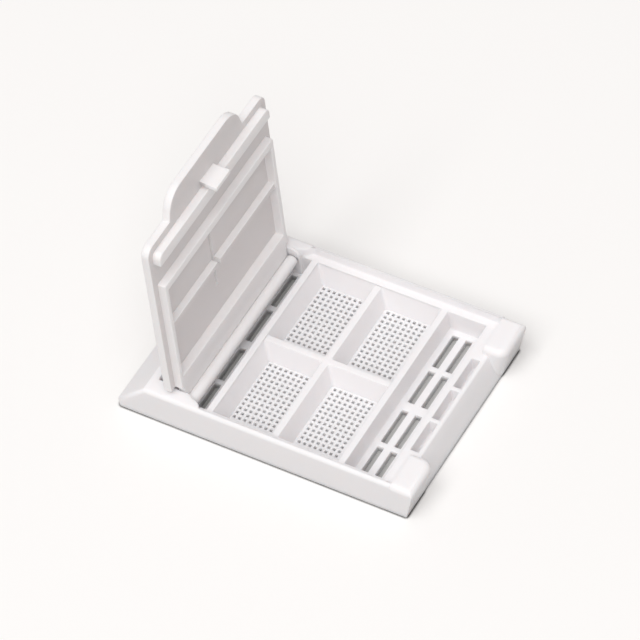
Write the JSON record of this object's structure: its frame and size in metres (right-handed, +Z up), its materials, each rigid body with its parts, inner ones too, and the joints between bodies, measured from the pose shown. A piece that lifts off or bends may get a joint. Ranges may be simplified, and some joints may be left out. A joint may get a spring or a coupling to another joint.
{
  "type": "tissue cassette",
  "caption": "Flat moulded cassette with mesh-floored compartments, slotted end decks, a sloping writing face and a hinged snap lid standing open.",
  "frame": {"origin": "centre of the base's underside", "axes": "+X from the writing face to the finger tab's end, +Y across the cassette along the hinge, +Z up out of the compartments"},
  "size_m": [0.0406, 0.0284, 0.0352],
  "materials": {
    "base_plastic": "satin white acetal",
    "lid_plastic": "satin white acetal"
  },
  "bodies": {
    "base": {"base": "base_plastic"},
    "lid": {"lid": "lid_plastic"}
  },
  "joints": [
    {"name": "lid_hinge", "type": "hinge", "parent": "base", "child": "lid", "pos_m": [-0.01082, 0, 0.00369], "axis": [0, 1, 0], "range_deg": [-12, 90]}
  ]
}
